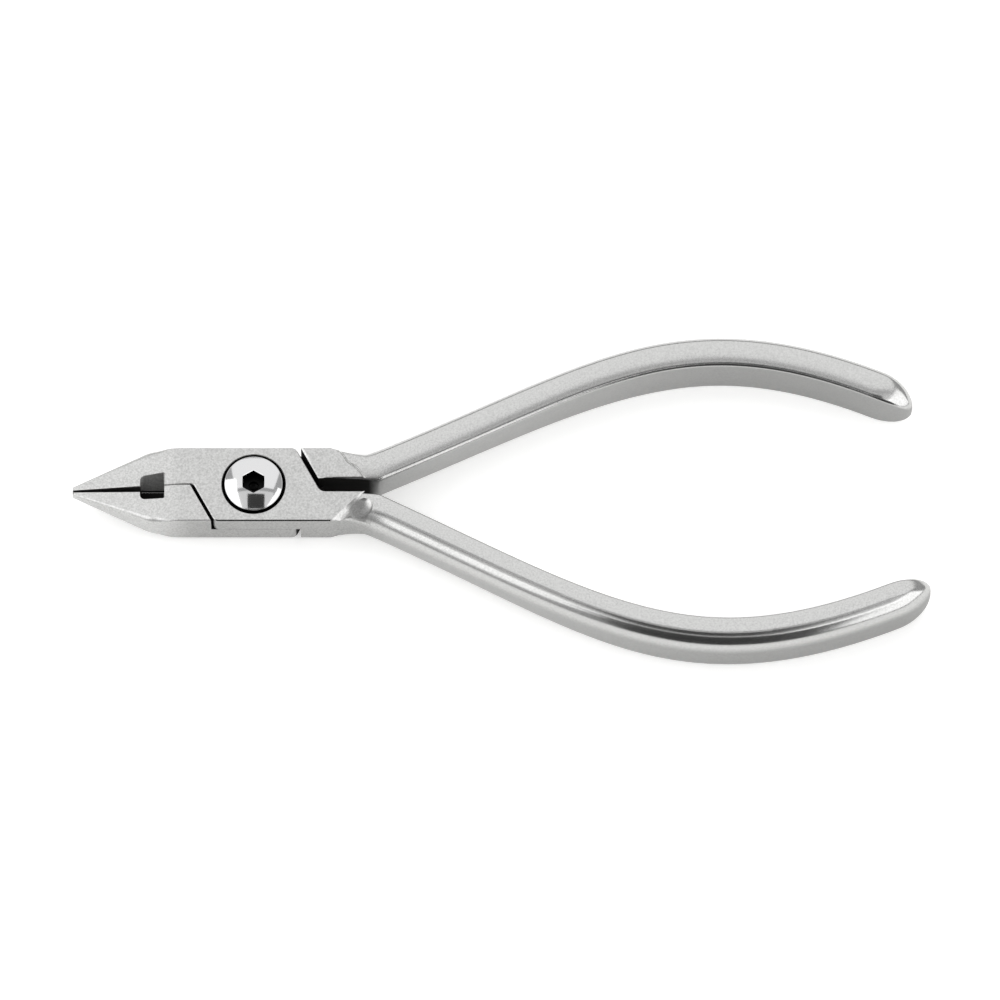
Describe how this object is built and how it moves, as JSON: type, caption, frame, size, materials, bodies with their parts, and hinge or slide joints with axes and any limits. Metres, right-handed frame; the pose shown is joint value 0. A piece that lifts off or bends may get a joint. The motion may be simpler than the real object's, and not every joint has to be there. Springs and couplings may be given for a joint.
{
  "type": "sprue nippers",
  "caption": "Small lap-joint sprue nippers: tapered cutting jaws with a square relief window, bowed flat handles, and a domed hex-socket screw that they turn on.",
  "frame": {"origin": "on the pivot axis, at the joint's flat back face", "axes": "+X from the pivot along the handles, with the jaws towards -X; +Z out of the joint's front face, where the screw head is; +Y towards the rear lever's handle"},
  "size_m": [0.1248, 0.0491, 0.0086],
  "materials": {
    "lever_steel": "satin ground stainless steel, bead blasted at the joint and polished along the handles",
    "screw_steel": "polished stainless steel"
  },
  "bodies": {
    "rear": {"rear_lever": "lever_steel", "pivot_screw": "screw_steel"},
    "front": {"front_lever": "lever_steel"}
  },
  "joints": [
    {"name": "jaw_opening", "type": "hinge", "parent": "rear", "child": "front", "pos_m": [0, 0, 0.0033], "axis": [0, 0, -1], "range_deg": [0, 45]}
  ]
}
